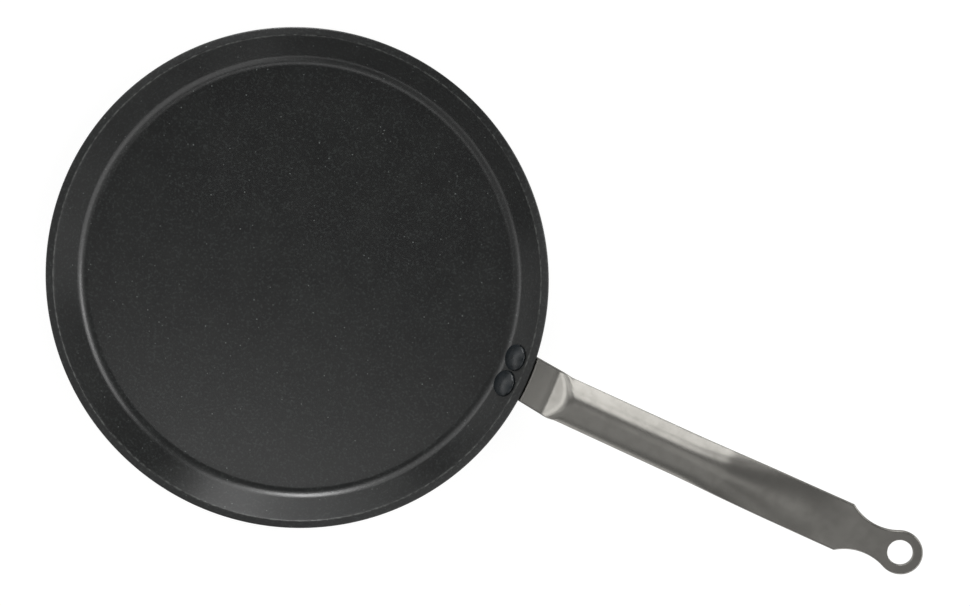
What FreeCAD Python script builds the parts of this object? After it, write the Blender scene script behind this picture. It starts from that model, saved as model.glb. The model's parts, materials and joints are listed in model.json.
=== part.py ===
"""Crepe pan: a shallow pressed dish, a bent strip handle and the two rivets that join them.

Millimetres. The origin is the centre of the dish's underside, +X runs out along the handle
and +Z is up. Each piece is written to parts/ as a solid of its own.
"""
import FreeCAD, Part
import math
import os

# Dish: a flat floor, a bend, a short flared wall and a plain lip
DISH_DIAMETER = 260.0
DISH_HEIGHT = 18.0
DISH_THICKNESS = 4.0
WALL_ANGLE = math.radians(48.5)         # the wall above the floor's plane
FLOOR_BEND = 5.0                        # inner radius between floor and wall
LIP_TILT = math.radians(10.0)           # the lip's face falls outwards
LIP_OUTER_ROUND = 0.6
LIP_INNER_ROUND = 0.25

# Rivets: a low dome inside the dish, a shank, and a formed tail under the handle's flange
RIVET_EDGE = 2.05                       # strip left between a rivet's hole and its side
RIVET_SHANK_DIAMETER = 6.0
RIVET_CLEARANCE = 0.1                   # between shank and hole, on the radius
TAIL_GAP = 0.02                         # keeps the tail's flat seat clear of the flange's curve
HEAD_GAP = 0.7                          # between the two heads
HEAD_TO_LIP = 2.0                       # wall left between a head and the lip's inner edge
HEAD_HEIGHT = 2.8
HEAD_EDGE_ROUND = 1.0
TAIL_DIAMETER = 9.6
TAIL_HEIGHT = 2.2
TAIL_EDGE_ROUND = 0.8
EDGE_LIFT_SHARE = 0.4                   # height of an edge round's centre, as a share of its radius

# Handle: one strip with rounded edges, bent along its length and crowned over its grip
STRIP_WIDTH = 25.0
STRIP_THICKNESS = 2.5
STRIP_EDGE_ROUND = 0.9
FLANGE_GAP = 0.1                        # left between dish and flange for the dish's coating
FLANGE_MARGIN = 7.0                     # from the rivets down to the flange's end
FLANGE_CLIP = 4.0                       # clipped corners of that end
ROOT_LENGTH = 17.0                      # from the lip up to the crease
CREASE_RUN = 1.5                        # run of the crease itself
CREASE_ANGLE = math.radians(44.0)       # the strip above the floor's plane just after the crease
FOLD_RUN = 5.0                          # run over which each line of the strip folds after the crease
CREST_LAG = 7.0                         # how much later the strip's crest folds than its edges
GRIP_ANGLE = math.radians(13.0)
GRIP_LENGTH = 60.0
GRIP_CROWN = math.radians(40.0)         # half of the arc over the strip's width
CROWN_LIFT_SHARE = 0.5                  # of the crown's rise, the share above the strip's centre line
FADE_LENGTH = 63.0                      # run over which the crown flattens out again
PLATE_ANGLE = math.radians(9.0)
PLATE_LENGTH = 53.5                     # from the end of the crown to the ring's centre
NECK_WIDTH = 15.3
NECK_RADIUS = 24.4
SHOULDER_ROUND = 1.5
RING_DIAMETER = 21.8
HANG_HOLE_DIAMETER = 12.3

# Making: how far cuts run past what they cut, and how finely the bent stretches are divided
OVERRUN = 1.0
FOLD_STEPS = 13
CROWN_STEPS = 6
SAME_PLACE = 1e-6

ORIGIN = FreeCAD.Vector(0, 0, 0)
ACROSS = FreeCAD.Vector(0, 1, 0)
UP = FreeCAD.Vector(0, 0, 1)


def direction(slope):
    """Unit vector that climbs at this slope in the plane of the handle."""
    return FreeCAD.Vector(math.cos(slope), 0, math.sin(slope))


def normal(slope):
    """Unit vector square to that direction, on its upper side."""
    return FreeCAD.Vector(-math.sin(slope), 0, math.cos(slope))


def line(start, end):
    """Straight edge."""
    return Part.LineSegment(start, end).toShape()


def arc(start, middle, end):
    """Round edge through three points."""
    return Part.Arc(start, middle, end).toShape()


def corner_round(before, corner, after, radius):
    """Start, middle and end of the arc of this radius that touches both sides of a corner."""
    back = (before - corner).normalize()
    onward = (after - corner).normalize()
    half = back.getAngle(onward) / 2
    inward = (back + onward).normalize()
    reach = radius / math.tan(half)
    middle = corner + inward * (radius / math.sin(half) - radius)
    return corner + back * reach, middle, corner + onward * reach


def rounded_wire(corners):
    """Closed wire through (point, radius) corners, with an arc at each corner that has a radius."""
    edges = []
    last = corners[0][0]
    for index in range(1, len(corners)):
        corner, radius = corners[index]
        if radius == 0:
            edges.append(line(last, corner))
            last = corner
            continue
        after = corners[(index + 1) % len(corners)][0]
        start, middle, end = corner_round(corners[index - 1][0], corner, after, radius)
        edges.append(line(last, start))
        edges.append(arc(start, middle, end))
        last = end
    edges.append(line(last, corners[0][0]))
    return Part.Wire(edges)


# Places that the pieces share, in the plane of the handle
lip_span = DISH_THICKNESS / math.sin(WALL_ANGLE + LIP_TILT)
lip_loss_share = math.cos((WALL_ANGLE - LIP_TILT) / 2) / math.sin((WALL_ANGLE + LIP_TILT) / 2) - 1
lip_outer_x = DISH_DIAMETER / 2 + LIP_OUTER_ROUND * lip_loss_share
lip_outer = FreeCAD.Vector(lip_outer_x, 0, DISH_HEIGHT - lip_span * math.sin(LIP_TILT))
lip_inner = lip_outer - direction(-LIP_TILT) * lip_span
rivet_pitch = STRIP_WIDTH - RIVET_SHANK_DIAMETER - 2 * (RIVET_EDGE + RIVET_CLEARANCE)
head_diameter = rivet_pitch - HEAD_GAP
rivet_drop = head_diameter / 2 + HEAD_TO_LIP
rivet_seat = lip_inner - direction(WALL_ANGLE) * rivet_drop
rivet_half_turn = math.asin(rivet_pitch / 2 / rivet_seat.x)
flange_depth = DISH_THICKNESS + FLANGE_GAP + STRIP_THICKNESS
rivet_stack = flange_depth + TAIL_GAP


def dish_blank():
    """The dish before its rivet holes are drilled: one profile turned about the axis."""
    inner_heel = lip_inner - direction(WALL_ANGLE) * ((lip_inner.z - DISH_THICKNESS) / math.sin(WALL_ANGLE))
    outer_heel = lip_outer - direction(WALL_ANGLE) * (lip_outer.z / math.sin(WALL_ANGLE))
    profile = rounded_wire([
        (ORIGIN, 0),
        (outer_heel, FLOOR_BEND + DISH_THICKNESS),
        (lip_outer, LIP_OUTER_ROUND),
        (lip_inner, LIP_INNER_ROUND),
        (inner_heel, FLOOR_BEND),
        (UP * DISH_THICKNESS, 0),
    ])
    return Part.Face(profile).revolve(ORIGIN, UP, 360)


def rivet_placement(side):
    """Moves a rivet that stands on the origin along +Z to its seat on the wall, on one side."""
    swing = FreeCAD.Rotation(UP, math.degrees(side * rivet_half_turn))
    lean = FreeCAD.Rotation(UP, normal(WALL_ANGLE))
    return FreeCAD.Placement(swing.multVec(rivet_seat), swing.multiply(lean))


def rivet_hole(side):
    """Cutter for one rivet's hole through dish wall and flange."""
    radius = RIVET_SHANK_DIAMETER / 2 + RIVET_CLEARANCE
    depth = rivet_stack + OVERRUN
    hole = Part.makeCylinder(radius, depth + OVERRUN, UP * -depth)
    hole.Placement = rivet_placement(side).multiply(hole.Placement)
    return hole


def button(diameter, height, edge_round, skirt):
    """Low dome with a rounded edge, standing on z = 0, with a straight skirt below it."""
    radius = diameter / 2
    edge_x = radius - edge_round
    edge_z = edge_round * EDGE_LIFT_SHARE
    rise = height - edge_z
    dome = (edge_x ** 2 + rise ** 2 - edge_round ** 2) / (2 * (rise - edge_round))
    dome_z = height - dome
    meet = math.atan2(edge_z - dome_z, edge_x)
    edge_centre = FreeCAD.Vector(edge_x, 0, edge_z)
    dome_centre = UP * dome_z
    side = FreeCAD.Vector(radius, 0, edge_z)
    foot = FreeCAD.Vector(radius, 0, -skirt)
    contact = dome_centre + direction(meet) * dome
    apex = UP * height
    profile = Part.Wire([
        line(UP * -skirt, foot),
        line(foot, side),
        arc(side, edge_centre + direction(meet / 2) * edge_round, contact),
        arc(contact, dome_centre + direction((meet + math.pi / 2) / 2) * dome, apex),
        line(apex, UP * -skirt),
    ])
    return Part.Face(profile).revolve(ORIGIN, UP, 360)


def rivet(side, dish):
    """One set rivet. Its head is trimmed to the curve of the dish wall that it sits on."""
    placement = rivet_placement(side)
    head = button(head_diameter, HEAD_HEIGHT, HEAD_EDGE_ROUND, OVERRUN)
    head.Placement = placement
    head = head.cut(dish)
    tail = button(TAIL_DIAMETER, TAIL_HEIGHT, TAIL_EDGE_ROUND, 0)
    tail.rotate(ORIGIN, ACROSS, 180)
    tail.translate(UP * -rivet_stack)
    bottom = rivet_stack + TAIL_HEIGHT / 2
    shank = Part.makeCylinder(RIVET_SHANK_DIAMETER / 2, bottom + HEAD_HEIGHT / 2, UP * -bottom)
    for piece in (tail, shank):
        piece.Placement = placement.multiply(piece.Placement)
    return head.fuse([shank, tail]).removeSplitter()


def eased(share):
    """0 up to a share of 0, 1 from a share of 1, and 3s^2 - 2s^3 between them."""
    share = min(max(share, 0), 1)
    return share * share * (3 - 2 * share)


def eased_sum(share):
    """Area under eased() up to this share."""
    inside = min(max(share, 0), 1)
    return inside ** 3 - inside ** 4 / 2 + max(share - 1, 0)


def bent(across, height, crown):
    """Where a point of the flat section goes, as (sideways, upwards), when its width is crowned."""
    if crown == 0:
        return across, height
    radius = STRIP_WIDTH / (2 * crown)
    turn = across / radius
    lift = CROWN_LIFT_SHARE * max(radius * (1 - math.cos(crown)), 0)
    return (radius + height) * math.sin(turn), (radius + height) * math.cos(turn) - radius + lift


def strip_section(place, slope, crown):
    """Closed outline of the strip, square to its centre line, with rounded edges."""
    half = STRIP_WIDTH / 2
    deep = STRIP_THICKNESS / 2
    flat = half - STRIP_EDGE_ROUND
    side = deep - STRIP_EDGE_ROUND
    diagonal = STRIP_EDGE_ROUND / math.sqrt(2)

    def at(across, height):
        sideways, upwards = bent(across, height, crown)
        return place + ACROSS * sideways + normal(slope) * upwards

    edges = []
    for turn in (1, -1):
        begin = at(-turn * flat, turn * deep)
        end = at(turn * flat, turn * deep)
        edges.append(arc(begin, at(0, turn * deep), end) if crown else line(begin, end))
        near = at(turn * half, turn * side)
        far = at(turn * half, -turn * side)
        edges.append(arc(end, at(turn * (flat + diagonal), turn * (side + diagonal)), near))
        edges.append(line(near, far))
        close = at(turn * flat, -turn * deep)
        edges.append(arc(far, at(turn * (flat + diagonal), -turn * (side + diagonal)), close))
    return Part.Wire(edges)


def ahead(place, slope, length, turn):
    """Place reached after a run of this length whose slope changes by turn as it goes."""
    if turn == 0:
        return place + direction(slope) * length
    radius = length / turn
    return place + (normal(slope) - normal(slope + turn)) * radius


def straight_run(place, slope, length, crown):
    """Stretch of the strip with one section throughout."""
    return Part.Face(strip_section(place, slope, crown)).extrude(direction(slope) * length)


def fold_at(along):
    """Slope, and share of the crown that has set in, at a distance along the fold from the crease on."""
    edges = (along - CREASE_RUN) / FOLD_RUN
    crest = edges - CREST_LAG / FOLD_RUN
    creased = min(along / CREASE_RUN, 1)
    folded = (eased(edges) + eased(crest)) / 2
    slope = WALL_ANGLE + (CREASE_ANGLE - WALL_ANGLE) * creased + (GRIP_ANGLE - CREASE_ANGLE) * folded
    return slope, (eased_sum(edges) - eased_sum(crest)) * FOLD_RUN / CREST_LAG


def folded_run(place, crown_start, crown_end):
    """Stretch of the strip from the crease to the grip, and the place where it ends.

    The crest folds after the edges, so the crown grows between them as they part.
    """
    step = (CREASE_RUN + FOLD_RUN + CREST_LAG) / FOLD_STEPS
    last_slope = WALL_ANGLE
    sections = [strip_section(place, last_slope, crown_start)]
    for count in range(1, FOLD_STEPS + 1):
        slope, set_in = fold_at(count * step)
        place = ahead(place, last_slope, step, slope - last_slope)
        crown = crown_start * (1 - set_in) + crown_end * set_in
        sections.append(strip_section(place, slope, crown))
        last_slope = slope
    return Part.makeLoft(sections, True, True), place


def crowning_run(place, slope, length, turn, crown_start, crown_end):
    """Stretch of the strip whose crown eases from one value to the other while its slope turns."""
    sections = []
    for step in range(CROWN_STEPS + 1):
        share = step / CROWN_STEPS
        crown = crown_start + (crown_end - crown_start) * eased(share)
        spot = ahead(place, slope, length * share, turn * share)
        sections.append(strip_section(spot, slope + turn * share, crown))
    return Part.makeLoft(sections, True, False)


def end_plate(place):
    """Flat end of the strip: shoulders, a neck with hollow sides, and a ring with its hole."""
    half = STRIP_WIDTH / 2
    deep = STRIP_THICKNESS / 2
    ring = RING_DIAMETER / 2
    hollow_y = NECK_WIDTH / 2 + NECK_RADIUS
    hollow_x = PLATE_LENGTH - math.sqrt((NECK_RADIUS + ring) ** 2 - hollow_y ** 2)
    shoulder_x = hollow_x - math.sqrt(NECK_RADIUS ** 2 - (hollow_y - half) ** 2)
    lean = math.atan2(hollow_y, PLATE_LENGTH - hollow_x)
    meet_x = PLATE_LENGTH - ring * math.cos(lean)
    meet_y = ring * math.sin(lean)

    def at(along, across):
        return FreeCAD.Vector(along, across, -deep)

    edges = [line(at(0, half), at(0, -half))]
    edges.append(line(at(0, -half), at(shoulder_x, -half)))
    edges.append(arc(at(shoulder_x, -half), at(hollow_x, -NECK_WIDTH / 2), at(meet_x, -meet_y)))
    edges.append(arc(at(meet_x, -meet_y), at(PLATE_LENGTH + ring, 0), at(meet_x, meet_y)))
    edges.append(arc(at(meet_x, meet_y), at(hollow_x, NECK_WIDTH / 2), at(shoulder_x, half)))
    edges.append(line(at(shoulder_x, half), at(0, half)))
    plate = Part.Face(Part.Wire(edges)).extrude(UP * STRIP_THICKNESS)

    shoulders = [edge for edge in plate.Edges
                 if abs(edge.CenterOfMass.z) < SAME_PLACE
                 and abs(edge.CenterOfMass.x - shoulder_x) < SAME_PLACE]
    plate = plate.makeFillet(SHOULDER_ROUND, shoulders)
    rims = [edge for edge in plate.Edges
            if abs(abs(edge.CenterOfMass.z) - deep) < SAME_PLACE
            and edge.CenterOfMass.x > SAME_PLACE]
    plate = plate.makeFillet(STRIP_EDGE_ROUND, rims)

    hole_start = FreeCAD.Vector(PLATE_LENGTH, 0, -deep - OVERRUN)
    plate = plate.cut(Part.makeCylinder(HANG_HOLE_DIAMETER / 2, STRIP_THICKNESS + 2 * OVERRUN, hole_start))
    plate.Placement = FreeCAD.Placement(place, FreeCAD.Rotation(ACROSS, -math.degrees(PLATE_ANGLE)))
    return plate


def flange_clip(place, side):
    """Cutter for one clipped corner of the flange's end."""
    leg = FLANGE_CLIP + 2 * OVERRUN
    outside = ACROSS * (side * (STRIP_WIDTH / 2 + OVERRUN))
    corner = place + outside - direction(WALL_ANGLE) * OVERRUN - normal(WALL_ANGLE) * STRIP_THICKNESS
    up_the_side = corner + direction(WALL_ANGLE) * leg
    along_the_end = corner - ACROSS * (side * leg)
    triangle = Part.makePolygon([corner, up_the_side, along_the_end, corner])
    return Part.Face(triangle).extrude(normal(WALL_ANGLE) * (2 * STRIP_THICKNESS))


def handle():
    """The strip from its flange under the rim to its hanging ring."""
    seat_radius = rivet_seat.x / math.sin(WALL_ANGLE) + flange_depth - STRIP_THICKNESS / 2
    root_crown = -STRIP_WIDTH / (2 * seat_radius)
    under_lip = lip_outer - normal(WALL_ANGLE) * (FLANGE_GAP + STRIP_THICKNESS / 2)
    lip_lead = lip_span * math.cos(WALL_ANGLE + LIP_TILT)
    flange_length = lip_lead + rivet_drop + FLANGE_MARGIN
    flange_end = under_lip - direction(WALL_ANGLE) * flange_length
    root = straight_run(flange_end, WALL_ANGLE, flange_length + ROOT_LENGTH, root_crown)

    fold, grip_start = folded_run(under_lip + direction(WALL_ANGLE) * ROOT_LENGTH, root_crown, GRIP_CROWN)
    grip = straight_run(grip_start, GRIP_ANGLE, GRIP_LENGTH, GRIP_CROWN)

    fade_start = ahead(grip_start, GRIP_ANGLE, GRIP_LENGTH, 0)
    fade_turn = PLATE_ANGLE - GRIP_ANGLE
    fade = crowning_run(fade_start, GRIP_ANGLE, FADE_LENGTH, fade_turn, GRIP_CROWN, 0)

    plate = end_plate(ahead(fade_start, GRIP_ANGLE, FADE_LENGTH, fade_turn))
    strip = root.fuse([fold, grip, fade, plate]).removeSplitter()
    cutters = [flange_clip(flange_end, side) for side in (1, -1)]
    cutters += [rivet_hole(side) for side in (1, -1)]
    return strip.cut(cutters)


blank = dish_blank()
pieces = {
    "pan_dish": blank.cut([rivet_hole(side) for side in (1, -1)]),
    "handle": handle(),
    "rivet_left": rivet(1, blank),
    "rivet_right": rivet(-1, blank),
}

os.makedirs("parts", exist_ok=True)
for name, shape in pieces.items():
    print(name, "solids", len(shape.Solids), "valid", shape.isValid(), "volume", round(shape.Volume, 1),
          "box", shape.BoundBox)
    shape.exportStep("parts/" + name + ".step")
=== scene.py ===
"""Finished looks for a crepe pan: coated dish, bent steel handle and two set rivets.

Metres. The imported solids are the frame: the origin is the centre of the dish's underside, +X runs
out along the handle and +Z is up. Every piece here is a surface worked out with numpy from the
sizes in the property groups below.
"""

import json
import math

import bmesh
import bpy
import numpy as np
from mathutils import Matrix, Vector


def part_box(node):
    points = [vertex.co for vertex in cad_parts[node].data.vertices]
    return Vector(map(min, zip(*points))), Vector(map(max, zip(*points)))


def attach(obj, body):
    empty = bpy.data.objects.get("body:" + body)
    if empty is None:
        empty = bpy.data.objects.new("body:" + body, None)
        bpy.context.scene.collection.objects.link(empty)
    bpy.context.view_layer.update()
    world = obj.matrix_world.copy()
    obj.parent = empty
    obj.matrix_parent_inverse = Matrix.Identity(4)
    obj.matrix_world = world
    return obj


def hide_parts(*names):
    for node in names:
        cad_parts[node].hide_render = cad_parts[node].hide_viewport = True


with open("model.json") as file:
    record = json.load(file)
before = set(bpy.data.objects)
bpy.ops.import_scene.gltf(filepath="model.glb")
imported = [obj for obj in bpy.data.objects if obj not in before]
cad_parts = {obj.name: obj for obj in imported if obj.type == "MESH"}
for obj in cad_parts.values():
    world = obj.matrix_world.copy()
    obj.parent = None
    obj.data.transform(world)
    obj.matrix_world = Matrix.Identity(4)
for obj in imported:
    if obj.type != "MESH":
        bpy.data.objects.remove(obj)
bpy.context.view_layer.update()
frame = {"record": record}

bl_info = {
    "name": "Crepe pan",
    "version": (1, 0, 0),
    "blender": (4, 5, 0),
    "location": "3D View > Sidebar > Crepe pan",
    "description": "Builds the finished dish, handle and rivets of a crepe pan on its packed frame",
    "category": "Object",
}

MM = 0.001
BODY = "root"
WELD = 1e-7                             # points nearer than this are one point
CLOSE_ENOUGH = 0.2 * MM                 # how far a surface may lie from the place that the frame gives
PATH_STEPS = 6001                       # steps of the running sum along the handle
DISH_STEPS = 360                        # faces round the dish
RIVET_STEPS = 96                        # faces round a rivet
SWEEP_STEPS = 96                        # faces round the sweep
RING_STEPS = 72                         # faces round half of the hanging ring, and of its hole
FOLD_MARGIN = 0.5 * MM                  # how far the fold's fine rows run on into the grip
MIDDLE_START_SHARE = 0.75               # of the flange's clip: where the strip's middle line starts
FRAME_WIDTH = 36                        # the camera frame's width in millimetres

# Rows across a face from its middle line to its rim, closer at the rim
FACE_SHARES = np.concatenate([np.linspace(0, 0.94, 17), [0.975, 1]])

MOUNTS = {mount["name"]: mount for mount in frame["record"]["mounts"]}
HOLE_PLACE = np.array(MOUNTS["hanging_hole"]["pos_m"])
HOLE_RADIUS = MOUNTS["hanging_hole"]["dims"]["r_mm"] * MM
DISH_LOW, DISH_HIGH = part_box("pan_dish")
DISH_DIAMETER = round(DISH_HIGH.y - DISH_LOW.y, 4)     # to a tenth of a millimetre


def linear(hex_colour):
    """Linear red, green and blue of an sRGB hex colour such as "3a3d3c"."""
    level = np.array([int(hex_colour[place:place + 2], 16) for place in (0, 2, 4)]) / 255
    low = level / 12.92
    high = ((level + 0.055) / 1.055) ** 2.4
    return tuple(float(value) for value in np.where(level <= 0.04045, low, high))


def length(name, description, default):
    """A size in metres that a user can change."""
    return bpy.props.FloatProperty(name=name, description=description, default=default, unit="LENGTH",
                                   precision=5, min=0)


def angle(name, description, degrees):
    """An angle that a user can change."""
    return bpy.props.FloatProperty(name=name, description=description, default=math.radians(degrees),
                                   subtype="ANGLE")


def number(name, description, default):
    """A plain number that a user can change."""
    return bpy.props.FloatProperty(name=name, description=description, default=default, precision=3, min=0)


def colour(name, description, hex_colour):
    """A colour that a user can change."""
    return bpy.props.FloatVectorProperty(name=name, description=description, default=linear(hex_colour),
                                         subtype="COLOR", size=3, min=0, max=1)


class DishSizes(bpy.types.PropertyGroup):
    """Sizes of the pressed dish, and its coating's colours."""
    diameter: length("Diameter", "Across the lip", DISH_DIAMETER)
    height: length("Height", "From the underside to the lip's inner edge", 18 * MM)
    thickness: length("Thickness", "Of floor and wall", 4 * MM)
    wall_angle: angle("Wall angle", "The wall's outside above the floor's plane", 48.5)
    inner_angle: angle("Inner wall angle", "Its inside, steeper because the wall thickens to its foot", 50.5)
    heel_bend: length("Heel bend", "Outer radius between underside and wall", 9 * MM)
    floor_bend: length("Floor bend", "Inner radius between floor and wall", 7.3 * MM)
    lip_tilt: angle("Lip tilt", "How far the lip's face falls outwards", 10)
    lip_outer_round: length("Outer lip round", "Radius of the lip's outer edge", 0.6 * MM)
    lip_inner_round: length("Inner lip round", "Radius of the lip's inner edge", 0.4 * MM)
    grain_width: length("Grain width", "Width that the spray's pebbles are drawn at", 1.2 * MM)
    grain_depth: length("Grain depth", "Height of the pebbles", 0.1 * MM)
    cloud_width: length("Cloud width", "Width of the places where the coating lies thinner", 14 * MM)
    speck_gap: length("Speck gap", "Between the cells that may hold a pale speck", 2.6 * MM)
    # The lip's inner edge line is partly coating rubbed thin and partly a painted highlight along that edge
    edge_line_reach: length("Rub reach", "How far the lip's rubbed line reaches to each side", 0.55 * MM)
    edge_line_core: length("Rub core", "The same for the part of it that is rubbed most", 0.25 * MM)
    edge_line_length: length("Rub length", "Length of that line's ragged stretches", 3 * MM)
    edge_line_depth: length("Rub depth", "How far below the lip's inner edge that line ends", 1.2 * MM)
    edge_line_fade: length("Rub fade", "Height over which it ends", 0.4 * MM)
    base: colour("Coating", "The baked coating", "040505")
    cloud: colour("Cloud", "The same where the coating lies thinner", "080a09")
    grain: colour("Grain", "The spray's pebbles, lighter at their tops", "1f2221")
    speck: colour("Speck", "The few pale specks in the coating", "5c605e")
    # Worn edge colour: partly real rubbing, partly a painted highlight on the lip's inner edge
    worn_and_highlight: colour("Worn edge", "The coating where it is rubbed thin on the lip's inner edge", "3a3c3a")


class RivetSizes(bpy.types.PropertyGroup):
    """Sizes of the two set rivets, and their colour."""
    drop: length("Drop", "From the lip's inner edge down the wall to the rivets", 9 * MM)
    pitch: length("Pitch", "Between the two rivets", 14.7 * MM)
    shank: length("Shank", "Diameter of the shank", 6 * MM)
    head: length("Head", "Diameter of the head inside the dish", 14 * MM)
    head_height: length("Head height", "Height of the head's low dome", 2.8 * MM)
    head_round: length("Head edge", "Radius of the head's edge", 1 * MM)
    tail: length("Tail", "Diameter of the formed tail under the flange", 9.6 * MM)
    tail_height: length("Tail height", "Height of the formed tail", 2.2 * MM)
    tail_round: length("Tail edge", "Radius of the tail's edge", 0.8 * MM)
    tail_gap: length("Tail gap", "Between flange and tail", 0.02 * MM)
    edge_lift: number("Edge lift", "Height of an edge round's centre, as a share of its radius", 0.4)
    mottle_width: length("Mottle width", "Width of the coating's faint mottles", 2.5 * MM)
    mottle_depth: length("Mottle depth", "Height of the mottles", 0.1 * MM)
    base: colour("Coating", "The slate coloured coating", "0d1215")
    cloud: colour("Cloud", "The same where the coating lies thinner", "12181c")


class HandleSizes(bpy.types.PropertyGroup):
    """Sizes of the bent strip, and its steel's colour."""
    width: length("Width", "Of the strip", 25 * MM)
    thickness: length("Thickness", "Of the strip", 2.5 * MM)
    edge_round: length("Edge round", "Radius of the strip's edges", 0.9 * MM)
    flange_gap: length("Flange gap", "Between dish and flange", 0.1 * MM)
    flange_margin: length("Flange margin", "From the rivets down to the flange's end", 7 * MM)
    flange_clip: length("Flange clip", "Clipped corners of that end", 4 * MM)
    clip_round: length("Clip round", "Radius of the clipped corners' ends", 1.2 * MM)
    root: length("Root", "From the lip up to the crease", 17 * MM)
    hollow: length("Hollow", "Run before the crease over which the root hollows a little", 4 * MM)
    hollow_angle: angle("Hollow angle", "How much steeper the root gets there", 2)
    crease: length("Crease", "Run of the crease", 1.5 * MM)
    crease_angle: angle("Crease angle", "The strip above the floor's plane just after the crease", 44)
    fold: length("Fold", "Run over which each line of the strip folds", 8 * MM)
    crest_lag: length("Crest lag", "How much later the strip's crest folds than its edges", 7 * MM)
    grip_angle: angle("Grip angle", "The grip above the floor's plane", 13)
    grip: length("Grip", "Length of the evenly crowned grip", 58.5 * MM)
    grip_crown: angle("Grip crown", "Half of the arc over the strip's width", 40)
    fade: length("Fade", "Run over which the crown flattens out", 63 * MM)
    plate_crown: angle("Plate crown", "Half of the slight arc that is left on the plate", 9)
    plate_bend: length("Plate bend", "From the start of the fade to the small bend into the plate", 20 * MM)
    plate_bend_run: length("Plate bend run", "Run of that bend", 6 * MM)
    plate_angle: angle("Plate angle", "The end plate above the floor's plane", 9.25)
    plate: length("Plate", "From the end of the fade to the ring's centre", 53.5 * MM)
    neck: length("Neck", "Width of the narrow neck", 15.3 * MM)
    neck_radius: length("Neck radius", "Of the neck's hollow sides", 24.4 * MM)
    shoulder_round: length("Shoulder round", "Radius of the shoulders", 1.5 * MM)
    ring: length("Ring", "Diameter of the hanging ring", 21.8 * MM)
    hole: length("Hole", "Diameter of the hanging hole", 2 * HOLE_RADIUS)
    hole_round: length("Hole edge", "Radius of the hole's deburred edges", 0.35 * MM)
    brush_length: length("Brush length", "Length of the brush's scratches", 30 * MM)
    brush_width: length("Brush width", "Width that the scratches are drawn at", 0.5 * MM)
    brush_depth: length("Brush depth", "Depth of the scratches", 0.05 * MM)
    stain_width: length("Stain width", "Width of the faint stains", 6 * MM)
    fleck_gap: length("Fleck gap", "Between the cells that may hold a speck of oil", 5 * MM)
    base: colour("Steel", "The satin steel", "999792")
    stain: colour("Stain", "The steel where it is faintly stained", "93918c")
    edge: colour("Edge", "The strip's blanked and tumbled edges", "6a6864")
    fleck: colour("Fleck", "The few specks of dried oil on the steel", "a39a78")


class StageSizes(bpy.types.PropertyGroup):
    """Sweep, lamps and camera."""
    sweep_gap: length("Sweep gap", "Between the floor and the dish's underside", 0.05 * MM)
    sweep_radius: length("Sweep radius", "Radius of the round floor", 4.5)
    sweep_bend: length("Sweep bend", "Radius between floor and wall", 0.6)
    sweep_height: length("Sweep height", "Height of the wall", 1.1)
    sweep_colour: colour("Sweep", "The white sweep", "e6e6e4")
    lamp_distance: length("Lamp distance", "From the dish's centre to each lamp", 3.0)
    fill: number("Fill", "Brightness of the even light from all around", 0.2)
    glow: number("Glow", "Light that the sweep shows the camera and mirrors", 0.9)
    glow_far: number("Far glow", "The same at the far edge of the sweep", 0.2)
    glow_inside: length("Glow inside", "Distance up to which the sweep is white", 0.7)
    glow_outside: length("Glow outside", "Distance from which the sweep has its far glow", 2.0)
    shade: number("Shade", "How much of its lit colour the sweep shows the camera and mirrors", 0.25)
    # The camera stands where the dish's circles and the handle line up with the photograph
    camera_place: bpy.props.FloatVectorProperty(name="Camera place", description="Where the camera stands",
                                                default=(0.057823, 0.101258, 0.799986), subtype="TRANSLATION")
    camera_turn: bpy.props.FloatVectorProperty(name="Camera turn", description="How the camera is turned",
                                               default=(-0.1035, -0.005, 0.405), subtype="EULER")
    lens: bpy.props.FloatProperty(name="Lens", description="Focal length on a 36 mm wide frame",
                                  default=56.41, unit="CAMERA")


# Flags keep some lamps off the dish and its rivets, or off the handle
DISH_ONLY = ("dish_coated", "rivet_left_set", "rivet_right_set")
HANDLE_ONLY = ("handle_strip",)

# name, (azimuth, elevation), (width, height) in degrees as seen from the pan, brightness, and pieces lit
LAMPS = (
    ("back box", (101, 20), (21, 35), 1.7, None),
    ("back middle box", (105, 45), (18, 15), 1.7, HANDLE_ONLY),
    ("back top box", (120, 61), (17, 16), 1.7, HANDLE_ONLY),
    ("back left box", (150, 34), (34, 46), 0.7, None),
    ("back low strip", (120, 8), (60, 12), 0.8, None),
    ("right back box", (45, 34), (24, 26), 2.5, None),
    ("right box", (0, 28), (44, 38), 1.2, None),
    ("front box", (312, 30), (42, 44), 0.9, None),
    ("front low strip", (273, 9), (52, 12), 0.7, None),
    ("corner box", (236, 14), (22, 18), 0.6, None),
    ("left box", (192, 17), (50, 22), 1.4, None),
    ("left top box", (190, 36), (46, 18), 0.4, None),
    ("side fill", (236, 42), (44, 56), 0.23, None),
    ("ring window", (122, 33), (11, 26), 14.0, DISH_ONLY),
    ("right window", (24, 38), (16, 18), 4.0, DISH_ONLY),
    ("right top box", (0, 62), (40, 14), 0.4, DISH_ONLY),
    ("floor spot", (272, 69), (24, 12), 1.4, DISH_ONLY),
    ("handle top box", (232, 81), (26, 18), 0.36, HANDLE_ONLY),
)


def grid_faces(rows, columns, first=0, closed=False):
    """Quads of a grid of rows by columns points, as an array of four indices each.

    A closed grid's last column joins its first.
    """
    index = first + np.arange(rows * columns).reshape(rows, columns)
    if closed:
        index = np.hstack([index, index[:, :1]])
    corners = [index[:-1, :-1], index[1:, :-1], index[1:, 1:], index[:-1, 1:]]
    return np.stack([corner.ravel() for corner in corners], axis=1)


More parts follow.
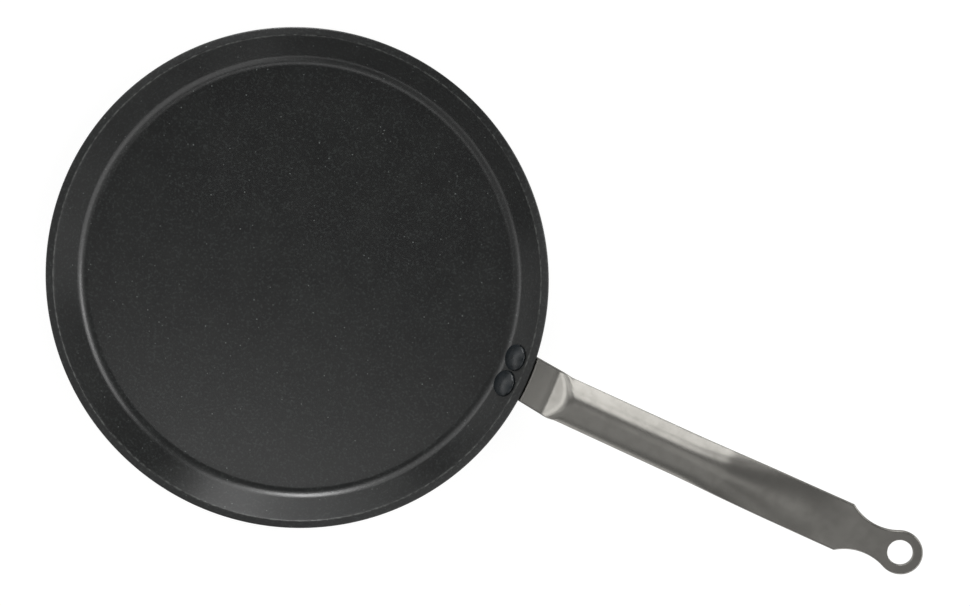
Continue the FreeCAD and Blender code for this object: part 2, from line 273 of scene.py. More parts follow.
def new_piece(name, points, faces, finish, node, places=None):
    """Make a closed smooth piece that stands for a node of the frame.

    Seams and poles are welded, faces are turned outwards, and an open edge is an error. Places are
    stored with the points as the attribute "strip_place", for a pattern that follows the surface.
    """
    mesh = bpy.data.meshes.new(name)
    mesh.from_pydata(points.tolist(), [], faces.tolist())
    if places is not None:
        layer = mesh.attributes.new("strip_place", "FLOAT_VECTOR", "POINT")
        layer.data.foreach_set("vector", places.astype(np.float32).ravel())
    shell = bmesh.new()
    shell.from_mesh(mesh)
    bmesh.ops.remove_doubles(shell, verts=shell.verts, dist=WELD)
    bmesh.ops.recalc_face_normals(shell, faces=shell.faces)
    open_edges = sum(not edge.is_manifold for edge in shell.edges)
    shell.to_mesh(mesh)
    shell.free()
    if open_edges:
        raise RuntimeError(f"{name} has {open_edges} edges that do not join two faces")
    mesh.shade_smooth()
    mesh.materials.append(finish)
    piece = bpy.data.objects.new(name, mesh)
    bpy.context.scene.collection.objects.link(piece)
    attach(piece, BODY)
    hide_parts(node)
    return piece


def arc(centre, radius, start, end, steps):
    """Points on a circle from one angle to another, both ends included."""
    turn = np.linspace(start, end, steps + 1)
    return np.asarray(centre) + radius * np.stack([np.cos(turn), np.sin(turn)], axis=1)


def corner_arc(before, corner, after, radius, steps):
    """Points of the arc of this radius that touches both sides of a corner."""
    back = (before - corner) / np.linalg.norm(before - corner)
    onward = (after - corner) / np.linalg.norm(after - corner)
    half = math.acos(np.clip(back @ onward, -1, 1)) / 2
    inward = (back + onward) / np.linalg.norm(back + onward)
    centre = corner + inward * radius / math.sin(half)
    first = corner + back * radius / math.tan(half) - centre
    last = corner + onward * radius / math.tan(half) - centre
    start = math.atan2(first[1], first[0])
    turn = math.atan2(first[0] * last[1] - first[1] * last[0], first @ last)
    return arc(centre, radius, start, start + turn, steps)


def lip_corners(size):
    """Outer and inner corner of the lip as (radius, height), before their edges are rounded.

    The outer edge's round, seen from the side, ends just at half of the dish's diameter.
    """
    span = size.thickness / math.sin(size.wall_angle + size.lip_tilt)
    half_corner = (size.wall_angle + size.lip_tilt) / 2
    half_lean = (size.wall_angle - size.lip_tilt) / 2
    loss = math.cos(half_lean) / math.sin(half_corner) - 1
    outer = np.array([size.diameter / 2 + size.lip_outer_round * loss,
                      size.height - span * math.sin(size.lip_tilt)])
    inner = outer - span * np.array([math.cos(size.lip_tilt), -math.sin(size.lip_tilt)])
    return outer, inner


def dish_profile(size):
    """The dish's section as (radius, height) points, from the underside's centre out, over the lip and in.

    Straight runs joined by arcs: heel, wall, lip, wall and floor bend.
    """
    outer, inner = lip_corners(size)
    outer_heel = outer - np.array([outer[1] / math.tan(size.wall_angle), outer[1]])
    deep = inner[1] - size.thickness
    inner_heel = inner - np.array([deep / math.tan(size.inner_angle), deep])
    bottom = np.array([0.0, 0.0])
    top = np.array([0.0, size.thickness])
    heel = corner_arc(bottom, outer_heel, outer, size.heel_bend, steps=28)
    outer_lip = corner_arc(outer_heel, outer, inner, size.lip_outer_round, steps=10)
    inner_lip = corner_arc(outer, inner, inner_heel, size.lip_inner_round, steps=8)
    bend = corner_arc(inner, inner_heel, top, size.floor_bend, steps=28)
    runs = [
        np.linspace(bottom, heel[0], 24)[:-1], heel,
        np.linspace(heel[-1], outer_lip[0], 8)[1:-1], outer_lip,
        np.linspace(outer_lip[-1], inner_lip[0], 6)[1:-1], inner_lip,
        np.linspace(inner_lip[-1], bend[0], 10)[1:-1], bend,
        np.linspace(bend[-1], top, 32)[1:],
    ]
    return np.vstack(runs)


def turned(profile, steps):
    """Points and quads of a profile of (radius, height) points turned about the Z axis."""
    turn = np.linspace(0, 2 * math.pi, steps, endpoint=False)
    radius, height = profile.T
    points = np.stack([np.outer(radius, np.cos(turn)), np.outer(radius, np.sin(turn)),
                       np.outer(height, np.ones(steps))], axis=2)
    return points.reshape(-1, 3), grid_faces(len(profile), steps, closed=True)


def eased(value, start, run):
    """0 before start, 1 after the run, and 3s^2 - 2s^3 between them."""
    ratio = np.clip((value - start) / run, 0, 1)
    return ratio * ratio * (3 - 2 * ratio)


def eased_sum(value, start, run):
    """Running sum of eased(): s^3 - s^4 / 2 of the run inside it, and one for one after it."""
    ratio = np.maximum((value - start) / run, 0)
    inside = np.minimum(ratio, 1)
    return run * (inside ** 3 - inside ** 4 / 2 + ratio - inside)


class StripPath:
    """The handle's centre line and the shape of its section, by length along the strip from the lip."""

    def __init__(self, size, dish, rivets):
        outer, inner = lip_corners(dish)
        self.size = size
        self.crease = size.root
        self.grip = self.crease + size.fold + size.crest_lag
        self.fade = self.grip + size.grip
        self.plate = self.fade + size.fade
        self.ring = self.plate + size.plate
        lip_lead = (outer - inner) @ np.array([math.cos(dish.wall_angle), math.sin(dish.wall_angle)])
        self.end = -(lip_lead + rivets.drop + size.flange_margin)

        seat = inner[0] - rivets.drop * math.cos(dish.wall_angle)
        bow_radius = seat / math.sin(dish.wall_angle) + dish.thickness + size.flange_gap + size.thickness / 2
        self.root_crown = -size.width / (2 * bow_radius)

        self.steps = np.linspace(self.end, self.ring + size.ring, PATH_STEPS)
        creased = np.interp(self.steps, [self.crease - size.hollow, self.crease, self.crease + size.crease],
                            [dish.wall_angle, dish.wall_angle + size.hollow_angle, size.crease_angle])
        edges = eased(self.steps, self.crease, size.fold)
        crest = eased(self.steps, self.crease + size.crest_lag, size.fold)
        lowered = eased(self.steps, self.fade + size.plate_bend, size.plate_bend_run)
        self.slope = (creased + (size.grip_angle - size.crease_angle) * (edges + crest) / 2
                      + (size.plate_angle - size.grip_angle) * lowered)
        start = outer + (size.flange_gap + size.thickness / 2) * np.array(
            [math.sin(dish.wall_angle), -math.cos(dish.wall_angle)])
        self.places = self.summed(start)

    def summed(self, start):
        """The centre line as (x, z): the running sum of its direction, set to pass the lip at start."""
        way = np.stack([np.cos(self.slope), np.sin(self.slope)], axis=1)
        step = np.diff(self.steps)[:, None]
        places = np.vstack([np.zeros(2), np.cumsum((way[1:] + way[:-1]) / 2 * step, axis=0)])
        lip = np.array([np.interp(0, self.steps, column) for column in places.T])
        return places + start - lip

    def bowed(self, across, crown):
        """Tilt and drop of a line of the strip when the strip is bent to an arc over its width.

        The line turns by across * 2 * crown / width about a centre below the strip.
        """
        turn = across * 2 * crown / self.size.width
        return turn, across * turn / 2 * np.sinc(turn / 2 / math.pi) ** 2

    def place(self, along, across, height):
        """Where points of the flat strip go, bent over the width by the crown and along the centre line.

        Each line of the strip folds once, the edges first and the crest last. Its share of the crown's
        rise is how far it then parts from the centre line, half of it upwards and half downwards.
        """
        size = self.size
        rest = size.plate_crown * (1 - eased(along, self.plate, size.plate / 2))
        faded = eased(along, self.fade, size.fade)
        crown = size.grip_crown * (1 - faded) + rest * faded
        full_drop = self.bowed(across, size.grip_crown)[1]
        full_rise = self.bowed(size.width / 2, size.grip_crown)[1]
        own_fold = self.crease + size.crest_lag * (1 - full_drop / full_rise)
        folded = eased(along, own_fold, size.fold)
        both = [eased_sum(along, self.crease + lag, size.fold) for lag in (0, size.crest_lag)]
        parted = (sum(both) / 2 - eased_sum(along, own_fold, size.fold)) / size.crest_lag

        root_turn, root_drop = self.bowed(across, self.root_crown)
        grip_turn = self.bowed(across, crown)[0]
        rise = self.bowed(size.width / 2, crown)[1]
        turn = root_turn * (1 - folded) + grip_turn * folded
        upwards = rise * parted - root_drop * (1 - folded)

        slope = np.interp(along, self.steps, self.slope)
        middle = sum(eased(along, self.crease + lag, size.fold) for lag in (0, size.crest_lag)) / 2
        lean = slope + (size.grip_angle - size.crease_angle) * (folded - middle)
        thick = height * np.cos(turn)
        x = np.interp(along, self.steps, self.places[:, 0]) - np.sin(slope) * upwards - np.sin(lean) * thick
        y = across * np.sinc(turn / math.pi) + height * np.sin(turn)
        z = np.interp(along, self.steps, self.places[:, 1]) + np.cos(slope) * upwards + np.cos(lean) * thick
        return np.stack([x, y, z], axis=-1)


def strip_outline(path):
    """Half of the flat strip's outline and the line that it is filled from, as (along, across) points.

    The outline runs from the middle of the flange's end over the clipped corner, along the side, over
    shoulder and hollow neck and round the ring to its tip. The inner line follows the strip's middle
    and then half of the hole. The last value is how many points lie beside the hole.
    """
    size = path.size
    half = size.width / 2
    ring = size.ring / 2
    hollow_y = size.neck / 2 + size.neck_radius
    hollow_x = path.ring - math.sqrt((size.neck_radius + ring) ** 2 - hollow_y ** 2)
    shoulder_y = half - size.shoulder_round
    reach = size.neck_radius + size.shoulder_round
    shoulder_x = hollow_x - math.sqrt(reach ** 2 - (hollow_y - shoulder_y) ** 2)
    towards_hollow = math.atan2(hollow_y - shoulder_y, hollow_x - shoulder_x)
    towards_ring = math.atan2(-hollow_y, path.ring - hollow_x)

    middle = np.array([path.end, 0.0])
    low = np.array([path.end, half - size.flange_clip])
    high = np.array([path.end + size.flange_clip, half])
    side = np.array([path.crease, half])
    low_arc = corner_arc(middle, low, high, size.clip_round, steps=6)
    high_arc = corner_arc(low, high, side, size.clip_round, steps=6)
    flange = np.vstack([np.linspace(middle, low_arc[0], 10)[:-1], low_arc,
                        np.linspace(low_arc[-1], high_arc[0], 4)[1:-1], high_arc])

    # Where the spacing of the rows changes along the side, and how many rows lie between
    stops = [high_arc[-1, 0], 0, path.crease - size.hollow, path.crease, path.crease + size.crease,
             path.grip + FOLD_MARGIN, path.fade, path.plate, shoulder_x]
    counts = [10, 10, 10, 8, 56, 40, 60, 16]
    along = np.concatenate([np.linspace(start, stop, count + 1)[1:]
                            for start, stop, count in zip(stops[:-1], stops[1:], counts)])
    sides = np.stack([along, np.full_like(along, half)], axis=1)

    shoulder = arc((shoulder_x, shoulder_y), size.shoulder_round, math.pi / 2, towards_hollow, steps=8)[1:]
    neck = arc((hollow_x, hollow_y), size.neck_radius, towards_hollow - math.pi, towards_ring, steps=40)[1:]
    eye = arc((path.ring, 0), ring, towards_ring + math.pi, 0, RING_STEPS)[1:]

    first = np.linspace(path.end + MIDDLE_START_SHARE * size.flange_clip, high_arc[-1, 0], len(flange))
    second = np.linspace(shoulder_x, path.ring - size.hole / 2, len(shoulder) + len(neck) + 1)[1:]
    straight = np.concatenate([first, along, second])
    inner = np.vstack([np.stack([straight, np.zeros_like(straight)], axis=1),
                       arc((path.ring, 0), size.hole / 2, math.pi, 0, RING_STEPS)[1:]])
    outer = np.vstack([flange, sides, shoulder, neck, eye])
    return outer, inner, len(eye) + 1


def handle_surface(path):
    """Points, quads and flat places of the handle: half of the strip, its mirror image and the hole's wall.

    Each row goes from the inner line over the top face, round the edge and back along the bottom face.
    """
    size = path.size
    deep = size.thickness / 2
    side = deep - size.edge_round
    outer, inner, beside_hole = strip_outline(path)
    tangent = np.gradient(outer, axis=0)
    tangent[0] = (0, 1)
    tangent[-1] = (0, -1)
    outward = np.stack([-tangent[:, 1], tangent[:, 0]], axis=1)
    outward /= np.linalg.norm(outward, axis=1)[:, None]
    rim = outer - outward * size.edge_round

    to_hole = np.zeros_like(inner)
    to_hole[-beside_hole:] = inner[-beside_hole:] - np.array([path.ring, 0])
    lengths = np.linalg.norm(to_hole, axis=1)
    to_hole[lengths > 0] /= lengths[lengths > 0][:, None]
    edge = inner + to_hole * size.hole_round

    ratio = FACE_SHARES[None, :, None]
    face = edge[:, None] * (1 - ratio) + rim[:, None] * ratio
    quarter = np.linspace(0, math.pi / 2, 8)[None, :, None]
    above = rim[:, None] + outward[:, None] * size.edge_round * np.sin(quarter)
    flat = np.hstack([face, above[:, 1:], above[:, :0:-1], face[:, ::-1]])

    rise = side + size.edge_round * np.cos(quarter[0, 1:, 0])
    level = np.full(ratio.size, deep)
    height = np.broadcast_to(np.concatenate([level, rise, -rise[::-1], -level]), flat.shape[:2])

    turn = np.linspace(0, math.pi / 2, 6)
    back = size.hole_round * (1 - np.sin(turn))[None, :, None]
    down = deep - size.hole_round * (1 - np.cos(turn))
    lining = inner[-beside_hole:, None] + to_hole[-beside_hole:, None] * back
    wall = np.hstack([lining, lining[:, ::-1]])
    wall_height = np.broadcast_to(np.concatenate([down, -down[::-1]]), wall.shape[:2])

    points, faces, places, first = [], [], [], 0
    for patch, patch_height in ((flat, height), (wall, wall_height)):
        for mirror in (1, -1):
            across = patch[..., 1] * mirror
            points.append(path.place(patch[..., 0], across, patch_height).reshape(-1, 3))
            places.append(np.stack([patch[..., 0], across, patch_height], axis=-1).reshape(-1, 3))
            faces.append(grid_faces(*patch.shape[:2], first=first))
            first += patch.shape[0] * patch.shape[1]
    return np.vstack(points), np.vstack(faces), np.vstack(places)


def button_profile(diameter, height, edge_round, edge_lift):
    """A low dome with a rounded edge as (radius, height) points from its foot up to its apex.

    The edge's round meets the dome's large arc on a common tangent.
    """
    radius = diameter / 2
    edge_x = radius - edge_round
    edge_z = edge_round * edge_lift
    rise = height - edge_z
    dome = (edge_x ** 2 + rise ** 2 - edge_round ** 2) / (2 * (rise - edge_round))
    meet = math.atan2(edge_z - (height - dome), edge_x)
    edge = arc((edge_x, edge_z), edge_round, 0, meet, steps=14)
    cap = arc((0, height - dome), dome, meet, math.pi / 2, steps=22)
    return np.vstack([[(radius, 0)], edge, cap[1:]])


def rivet_surface(size, dish, handle, side):
    """Points and quads of one set rivet: head, shank and tail turned about the rivet's own axis.

    The head's foot follows the dish's wall, which rises beside the rivet by across^2 * sin(wall angle)
    over twice the wall's distance from the axis.
    """
    inner = lip_corners(dish)[1]
    climb = np.array([math.cos(dish.wall_angle), math.sin(dish.wall_angle)])
    seat = inner - climb * size.drop
    stack = dish.thickness + handle.flange_gap + handle.thickness + size.tail_gap
    head = button_profile(size.head, size.head_height, size.head_round, size.edge_lift)
    tail = button_profile(size.tail, size.tail_height, size.tail_round, size.edge_lift)
    shank = np.array([(size.shank / 2, 0), (size.shank / 2, -stack)])
    under = tail[::-1] * (1, -1) - (0, stack)
    profile = np.vstack([under, shank[::-1], head])
    points, faces = turned(profile, RIVET_STEPS)
    up, across, out = points.T
    wall = across ** 2 * climb[1] / (2 * (seat[0] + up * climb[0]))
    out = np.where(np.abs(out) < WELD, wall, out)
    x = seat[0] + up * climb[0] - out * climb[1]
    z = seat[1] + up * climb[1] + out * climb[0]
    turn = side * math.asin(size.pitch / 2 / seat[0])
    swing = np.array([[math.cos(turn), -math.sin(turn), 0], [math.sin(turn), math.cos(turn), 0], [0, 0, 1]])
    return np.stack([x, across, z], axis=1) @ swing.T, faces


def add_node(tree, kind, settings=None, inputs=None):
    """Add a node, set its settings, and link or set its inputs."""
    node = tree.nodes.new(kind)
    for name, value in (settings or {}).items():
        setattr(node, name, value)
    for name, value in (inputs or {}).items():
        if isinstance(value, bpy.types.NodeSocket):
            tree.links.new(value, node.inputs[name])
        else:
            node.inputs[name].default_value = value
    return node


def new_material(name):
    """An empty node material and its tree."""
    material = bpy.data.materials.new(name)
    material.use_nodes = True
    material.node_tree.nodes.clear()
    return material, material.node_tree


def baked_coating(size):
    """Dark non-stick coating, sprayed and baked: satin, finely pebbled, cloudy, with a few pale specks."""
    material, tree = new_material("non-stick coating, sprayed and baked")
    place = add_node(tree, "ShaderNodeTexCoord").outputs["Object"]
    # The spray's pebbles are about 0.2 mm wide, and drawn six times as coarse so that they show
    grain = add_node(tree, "ShaderNodeTexNoise", None, {
        "Vector": place, "Scale": 1 / size.grain_width, "Detail": 1.0, "Roughness": 0.5})
    cloud = add_node(tree, "ShaderNodeTexNoise", None, {
        "Vector": place, "Scale": 1 / size.cloud_width, "Detail": 4.0})
    thin = add_node(tree, "ShaderNodeMapRange", None, {
        "Value": cloud.outputs["Fac"], "From Min": 0.35, "From Max": 0.65})
    clouded = add_node(tree, "ShaderNodeMix", {"data_type": "RGBA"}, {
        0: thin.outputs["Result"], 6: (*size.base, 1), 7: (*size.cloud, 1)})
    crest = add_node(tree, "ShaderNodeMapRange", None, {
        "Value": grain.outputs["Fac"], "From Min": 0.52, "From Max": 0.72})
    coat = add_node(tree, "ShaderNodeMix", {"data_type": "RGBA"}, {
        0: crest.outputs["Result"], 6: clouded.outputs[2], 7: (*size.grain, 1)})

    # One cell in five holds a speck, of up to a third of the cells' spacing
    cells = add_node(tree, "ShaderNodeTexVoronoi", None, {"Vector": place, "Scale": 1 / size.speck_gap})
    draw = add_node(tree, "ShaderNodeSeparateColor", None, {"Color": cells.outputs["Color"]})
    chosen = add_node(tree, "ShaderNodeMapRange", None, {
        "Value": draw.outputs["Red"], "From Min": 0.8, "From Max": 1.0})
    dot = add_node(tree, "ShaderNodeMapRange", None, {
        "Value": cells.outputs["Distance"], "From Min": 0.16, "From Max": 0.1})
    speck = add_node(tree, "ShaderNodeMath", {"operation": "MULTIPLY"}, {
        0: chosen.outputs["Result"], 1: dot.outputs["Result"]})
    specked = add_node(tree, "ShaderNodeMix", {"data_type": "RGBA"}, {
        0: speck.outputs[0], 6: coat.outputs[2], 7: (*size.speck, 1)})

    # The lip's inner edge is painted lighter in a ragged line, which ends just below that edge: partly
    # coating rubbed thin, partly a painted highlight of that edge
    edge_radius, edge_height = (float(value) for value in lip_corners(size)[1])
    edge_line_end = edge_height - size.edge_line_depth
    level = add_node(tree, "ShaderNodeVectorMath", {"operation": "MULTIPLY"}, {0: place, 1: (1, 1, 0)})
    radius = add_node(tree, "ShaderNodeVectorMath", {"operation": "LENGTH"}, {0: level.outputs["Vector"]})
    off_edge = add_node(tree, "ShaderNodeMath", {"operation": "SUBTRACT"}, {
        0: radius.outputs["Value"], 1: edge_radius})
    near = add_node(tree, "ShaderNodeMath", {"operation": "ABSOLUTE"}, {0: off_edge.outputs[0]})
    line = add_node(tree, "ShaderNodeMapRange", None, {
        "Value": near.outputs[0], "From Min": size.edge_line_reach, "From Max": size.edge_line_core})
    ragged = add_node(tree, "ShaderNodeTexNoise", None, {
        "Vector": place, "Scale": 1 / size.edge_line_length, "Detail": 3.0})
    rubbed = add_node(tree, "ShaderNodeMapRange", None, {
        "Value": ragged.outputs["Fac"], "From Min": 0.42, "From Max": 0.6})
    height = add_node(tree, "ShaderNodeSeparateXYZ", None, {"Vector": place})
    at_top = add_node(tree, "ShaderNodeMapRange", None, {
        "Value": height.outputs["Z"], "From Min": edge_line_end, "From Max": edge_line_end + size.edge_line_fade})
    top_line = add_node(tree, "ShaderNodeMath", {"operation": "MULTIPLY"}, {
        0: line.outputs["Result"], 1: at_top.outputs["Result"]})
    # Mask of the lighter edge line: rubbed coating and painted highlight
    worn_and_highlight = add_node(tree, "ShaderNodeMath", {"operation": "MULTIPLY"}, {
        0: top_line.outputs[0], 1: rubbed.outputs["Result"]})
    tint = add_node(tree, "ShaderNodeMix", {"data_type": "RGBA"}, {
        0: worn_and_highlight.outputs[0], 6: specked.outputs[2], 7: (*size.worn_and_highlight, 1)})

    rough = add_node(tree, "ShaderNodeMapRange", None, {
        "Value": cloud.outputs["Fac"], "From Min": 0.3, "From Max": 0.7, "To Min": 0.285, "To Max": 0.315})
    bump = add_node(tree, "ShaderNodeBump", None, {
        "Height": grain.outputs["Fac"], "Strength": 0.25, "Distance": size.grain_depth})
    shader = add_node(tree, "ShaderNodeBsdfPrincipled", None, {
        "Base Color": tint.outputs[2], "Roughness": rough.outputs["Result"], "Normal": bump.outputs["Normal"],
        "IOR": 1.6})
    add_node(tree, "ShaderNodeOutputMaterial", None, {"Surface": shader.outputs["BSDF"]})
    return material


def satin_steel(size):
    """Rolled strip steel, satin brushed: soft reflections, faint stains and specks, duller blanked edges."""
    material, tree = new_material("strip steel, satin brushed")
    strip = add_node(tree, "ShaderNodeAttribute", {"attribute_name": "strip_place"}).outputs["Vector"]
    # The brush's scratches are a few hundredths of a millimetre wide, and drawn ten times as coarse
    stretched = add_node(tree, "ShaderNodeVectorMath", {"operation": "MULTIPLY"}, {
        0: strip, 1: (1 / size.brush_length, 1 / size.brush_width, 1 / size.brush_width)})
    brush = add_node(tree, "ShaderNodeTexNoise", None, {
        "Vector": stretched.outputs["Vector"], "Scale": 1.0, "Detail": 3.0})
    cloud = add_node(tree, "ShaderNodeTexNoise", None, {
        "Vector": strip, "Scale": 1 / size.stain_width, "Detail": 4.0})
    stained = add_node(tree, "ShaderNodeMapRange", None, {
        "Value": cloud.outputs["Fac"], "From Min": 0.42, "From Max": 0.66})
    plain = add_node(tree, "ShaderNodeMix", {"data_type": "RGBA"}, {
        0: stained.outputs["Result"], 6: (*size.base, 1), 7: (*size.stain, 1)})

    # One cell in twelve holds a speck, of about a tenth of the cells' spacing
    cells = add_node(tree, "ShaderNodeTexVoronoi", None, {"Vector": strip, "Scale": 1 / size.fleck_gap})
    draw = add_node(tree, "ShaderNodeSeparateColor", None, {"Color": cells.outputs["Color"]})
    chosen = add_node(tree, "ShaderNodeMapRange", None, {
        "Value": draw.outputs["Red"], "From Min": 0.92, "From Max": 0.95})
    dot = add_node(tree, "ShaderNodeMapRange", None, {
        "Value": cells.outputs["Distance"], "From Min": 0.07, "From Max": 0.04})
    fleck = add_node(tree, "ShaderNodeMath", {"operation": "MULTIPLY"}, {
        0: chosen.outputs["Result"], 1: dot.outputs["Result"]})
    flecked = add_node(tree, "ShaderNodeMix", {"data_type": "RGBA"}, {
        0: fleck.outputs[0], 6: plain.outputs[2], 7: (*size.fleck, 1)})

    # Round the strip's edges the height over its middle plane falls off from half of its thickness
    parts = add_node(tree, "ShaderNodeSeparateXYZ", None, {"Vector": strip})
    height = add_node(tree, "ShaderNodeMath", {"operation": "ABSOLUTE"}, {0: parts.outputs["Z"]})
    side = add_node(tree, "ShaderNodeMapRange", None, {
        "Value": height.outputs[0], "From Min": size.thickness * 0.49, "From Max": size.thickness * 0.36})
    tint = add_node(tree, "ShaderNodeMix", {"data_type": "RGBA"}, {
        0: side.outputs["Result"], 6: flecked.outputs[2], 7: (*size.edge, 1)})

    satin = add_node(tree, "ShaderNodeMapRange", None, {
        "Value": cloud.outputs["Fac"], "From Min": 0.3, "From Max": 0.7, "To Min": 0.225, "To Max": 0.255})
    dull = add_node(tree, "ShaderNodeMath", {"operation": "MULTIPLY"}, {0: side.outputs["Result"], 1: 0.2})
    rough = add_node(tree, "ShaderNodeMath", {"operation": "ADD"}, {
        0: satin.outputs["Result"], 1: dull.outputs[0]})
    bump = add_node(tree, "ShaderNodeBump", None, {
        "Height": brush.outputs["Fac"], "Strength": 0.01, "Distance": size.brush_depth})
    shader = add_node(tree, "ShaderNodeBsdfPrincipled", None, {
        "Base Color": tint.outputs[2], "Metallic": 1.0, "Roughness": rough.outputs[0],
        "Normal": bump.outputs["Normal"]})
    add_node(tree, "ShaderNodeOutputMaterial", None, {"Surface": shader.outputs["BSDF"]})
    return material


def slate_coating(size):
    """Smooth slate coloured coating on the rivets: semi-gloss, faintly mottled."""
    material, tree = new_material("slate coating, dipped and baked")
    place = add_node(tree, "ShaderNodeTexCoord").outputs["Object"]
    cloud = add_node(tree, "ShaderNodeTexNoise", None, {
        "Vector": place, "Scale": 1 / size.mottle_width, "Detail": 3.0})
    thin = add_node(tree, "ShaderNodeMapRange", None, {
        "Value": cloud.outputs["Fac"], "From Min": 0.35, "From Max": 0.65})
    tint = add_node(tree, "ShaderNodeMix", {"data_type": "RGBA"}, {
        0: thin.outputs["Result"], 6: (*size.base, 1), 7: (*size.cloud, 1)})
    rough = add_node(tree, "ShaderNodeMapRange", None, {
        "Value": cloud.outputs["Fac"], "From Min": 0.3, "From Max": 0.7, "To Min": 0.24, "To Max": 0.34})
    bump = add_node(tree, "ShaderNodeBump", None, {
        "Height": cloud.outputs["Fac"], "Strength": 0.12, "Distance": size.mottle_depth})
    shader = add_node(tree, "ShaderNodeBsdfPrincipled", None, {
        "Base Color": tint.outputs[2], "Roughness": rough.outputs["Result"], "Normal": bump.outputs["Normal"],
        "IOR": 1.45})
    add_node(tree, "ShaderNodeOutputMaterial", None, {"Surface": shader.outputs["BSDF"]})
    return material


def white_sweep(size):
    """Matt white board: the camera and mirrors see it near white, with the object's soft shadow."""
    material, tree = new_material("matt white board")
    path = add_node(tree, "ShaderNodeLightPath")
    direct = add_node(tree, "ShaderNodeMath", {"operation": "MAXIMUM"}, {
        0: path.outputs["Is Camera Ray"], 1: path.outputs["Is Glossy Ray"]})
    seen = add_node(tree, "ShaderNodeMath", {"operation": "MAXIMUM"}, {
        0: direct.outputs[0], 1: path.outputs["Is Transmission Ray"]})
    shown = tuple(value * size.shade for value in size.sweep_colour)
    tint = add_node(tree, "ShaderNodeMix", {"data_type": "RGBA"}, {
        0: seen.outputs[0], 6: (*size.sweep_colour, 1), 7: (*shown, 1)})
    board = add_node(tree, "ShaderNodeBsdfDiffuse", None, {"Color": tint.outputs[2]})
    place = add_node(tree, "ShaderNodeTexCoord").outputs["Object"]
    away = add_node(tree, "ShaderNodeVectorMath", {"operation": "LENGTH"}, {0: place})
    level = add_node(tree, "ShaderNodeMapRange", {"interpolation_type": "SMOOTHSTEP"}, {
        "Value": away.outputs["Value"], "From Min": size.glow_inside, "From Max": size.glow_outside,
        "To Min": size.glow, "To Max": size.glow_far})
    power = add_node(tree, "ShaderNodeMath", {"operation": "MULTIPLY"}, {
        0: seen.outputs[0], 1: level.outputs["Result"]})
    glow = add_node(tree, "ShaderNodeEmission", None, {"Color": (1, 1, 1, 1), "Strength": power.outputs[0]})
    both = add_node(tree, "ShaderNodeAddShader", None, {
        0: board.outputs["BSDF"], 1: glow.outputs["Emission"]})
    add_node(tree, "ShaderNodeOutputMaterial", None, {"Surface": both.outputs["Shader"]})
    return material


def soft_box(name, place, spread, brightness, distance):
    """A rectangular lamp that faces the pan.

    Its place is an azimuth and an elevation, its spread a width and a height as seen from the pan, all in
    degrees. Blender gives an area lamp a brightness of its power over four times its area.
    """
    azimuth, elevation = (math.radians(value) for value in place)
    width, height = (2 * distance * math.tan(math.radians(value) / 2) for value in spread)
    lamp = bpy.data.lights.new(name, "AREA")
    lamp.shape = "RECTANGLE"
    lamp.size = width
    lamp.size_y = height
    lamp.energy = brightness * 4 * width * height
    box = bpy.data.objects.new(name, lamp)
    box.location = (distance * math.cos(elevation) * math.cos(azimuth),
                    distance * math.cos(elevation) * math.sin(azimuth), distance * math.sin(elevation))
    box.rotation_euler = (math.pi / 2 - elevation, 0, azimuth + math.pi / 2)
    box.visible_camera = False
    bpy.context.scene.collection.objects.link(box)
    return box


class CREPEPAN_OT_dish(bpy.types.Operator):
    """Turn the coated dish"""
    bl_idname = "crepe_pan.dish"
    bl_label = "Dish"

    def execute(self, context):
        size = context.scene.crepe_pan_dish
        points, faces = turned(dish_profile(size), DISH_STEPS)
        new_piece("dish_coated", points, faces, baked_coating(size), "pan_dish")
        return {"FINISHED"}


class CREPEPAN_OT_handle(bpy.types.Operator):
    """Bend the steel handle"""
    bl_idname = "crepe_pan.handle"
    bl_label = "Handle"

    def execute(self, context):
        size = context.scene.crepe_pan_handle
        path = StripPath(size, context.scene.crepe_pan_dish, context.scene.crepe_pan_rivets)
        ring = path.place(np.array(path.ring), np.array(0.0), np.array(0.0))
        if np.linalg.norm(ring - HOLE_PLACE) > CLOSE_ENOUGH:
            raise RuntimeError(f"the ring's centre is at {ring}, and the hanging hole at {HOLE_PLACE}")
        points, faces, places = handle_surface(path)
        new_piece("handle_strip", points, faces, satin_steel(size), "handle", places)
        return {"FINISHED"}


class CREPEPAN_OT_rivets(bpy.types.Operator):
    """Set the two rivets"""
    bl_idname = "crepe_pan.rivets"
    bl_label = "Rivets"

    def execute(self, context):
        size = context.scene.crepe_pan_rivets
        dish = context.scene.crepe_pan_dish
        handle = context.scene.crepe_pan_handle
        finish = slate_coating(size)
        for name, side in (("left", 1), ("right", -1)):
            points, faces = rivet_surface(size, dish, handle, side)
            new_piece(f"rivet_{name}_set", points, faces, finish, f"rivet_{name}")
        return {"FINISHED"}


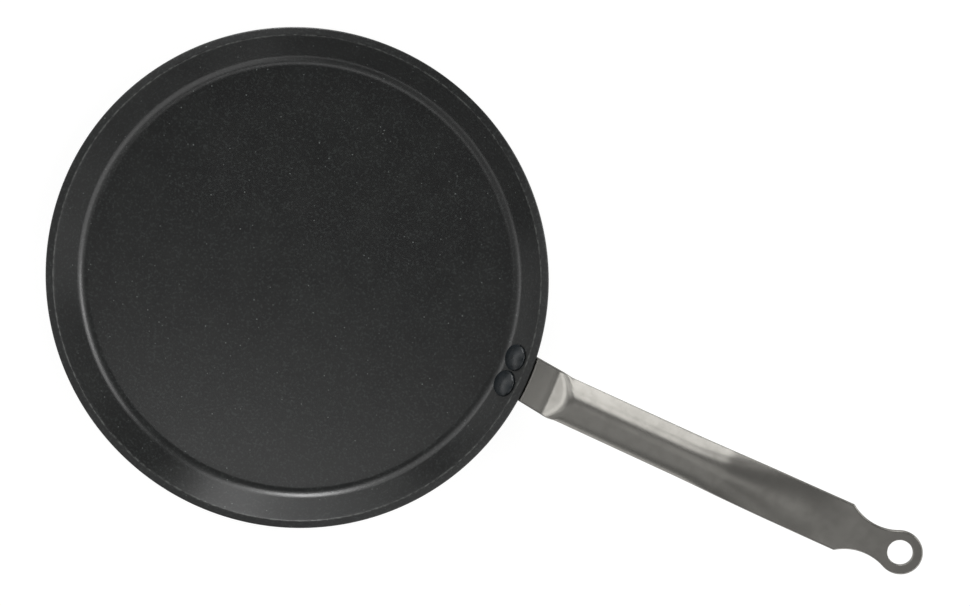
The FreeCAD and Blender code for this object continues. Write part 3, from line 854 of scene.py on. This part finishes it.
class CREPEPAN_OT_stage(bpy.types.Operator):
    """Set up sweep, lamps and camera"""
    bl_idname = "crepe_pan.stage"
    bl_label = "Stage"

    def execute(self, context):
        size = context.scene.crepe_pan_stage
        rim = size.sweep_radius + size.sweep_bend
        cove = arc((size.sweep_radius, size.sweep_bend), size.sweep_bend, -math.pi / 2, 0, steps=16)
        profile = np.vstack([np.linspace((0, 0), cove[0], 12)[:-1], cove, [(rim, size.sweep_height)]])
        points, faces = turned(profile - (0, size.sweep_gap), SWEEP_STEPS)
        mesh = bpy.data.meshes.new("sweep")
        mesh.from_pydata(points.tolist(), [], faces.tolist())
        mesh.materials.append(white_sweep(size))
        mesh.shade_smooth()
        sweep = bpy.data.objects.new("sweep", mesh)
        context.scene.collection.objects.link(sweep)

        for name, place, spread, brightness, pieces in LAMPS:
            box = soft_box(name, place, spread, brightness, size.lamp_distance)
            if pieces:
                lit = bpy.data.collections.new(f"lit by the {name}")
                for piece in pieces:
                    lit.objects.link(bpy.data.objects[piece])
                box.light_linking.receiver_collection = lit

        world = bpy.data.worlds.new("studio")
        world.use_nodes = True
        background = world.node_tree.nodes["Background"]
        background.inputs["Color"].default_value = (1, 1, 1, 1)
        background.inputs["Strength"].default_value = size.fill
        context.scene.world = world

        camera = bpy.data.objects.new("camera", bpy.data.cameras.new("camera"))
        camera.data.sensor_width = FRAME_WIDTH
        camera.data.lens = size.lens
        camera.location = size.camera_place
        camera.rotation_euler = size.camera_turn
        context.scene.collection.objects.link(camera)
        context.scene.camera = camera
        context.scene.view_settings.view_transform = "Standard"
        return {"FINISHED"}


class CREPEPAN_PT_panel(bpy.types.Panel):
    """Lists the pan's pieces"""
    bl_idname = "CREPEPAN_PT_panel"
    bl_label = "Crepe pan"
    bl_space_type = "VIEW_3D"
    bl_region_type = "UI"
    bl_category = "Crepe pan"

    def draw(self, context):
        for group in ("dish", "handle", "rivets", "stage"):
            box = self.layout.box()
            box.operator(f"crepe_pan.{group}")
            sizes = getattr(context.scene, f"crepe_pan_{group}")
            for name in sizes.__annotations__:
                box.prop(sizes, name)


GROUPS = {"crepe_pan_dish": DishSizes, "crepe_pan_handle": HandleSizes, "crepe_pan_rivets": RivetSizes,
          "crepe_pan_stage": StageSizes}
CLASSES = (*GROUPS.values(), CREPEPAN_OT_dish, CREPEPAN_OT_handle, CREPEPAN_OT_rivets, CREPEPAN_OT_stage,
           CREPEPAN_PT_panel)


def register():
    """Add the classes, and their sizes to the scene."""
    for made in CLASSES:
        bpy.utils.register_class(made)
    for name, group in GROUPS.items():
        setattr(bpy.types.Scene, name, bpy.props.PointerProperty(type=group))


def unregister():
    """Take the sizes and the classes away again."""
    for name in GROUPS:
        delattr(bpy.types.Scene, name)
    for made in reversed(CLASSES):
        bpy.utils.unregister_class(made)


def main():
    """Make every piece and the stage."""
    register()
    bpy.ops.crepe_pan.dish()
    bpy.ops.crepe_pan.handle()
    bpy.ops.crepe_pan.rivets()
    bpy.ops.crepe_pan.stage()


if __name__ == "__main__":
    main()
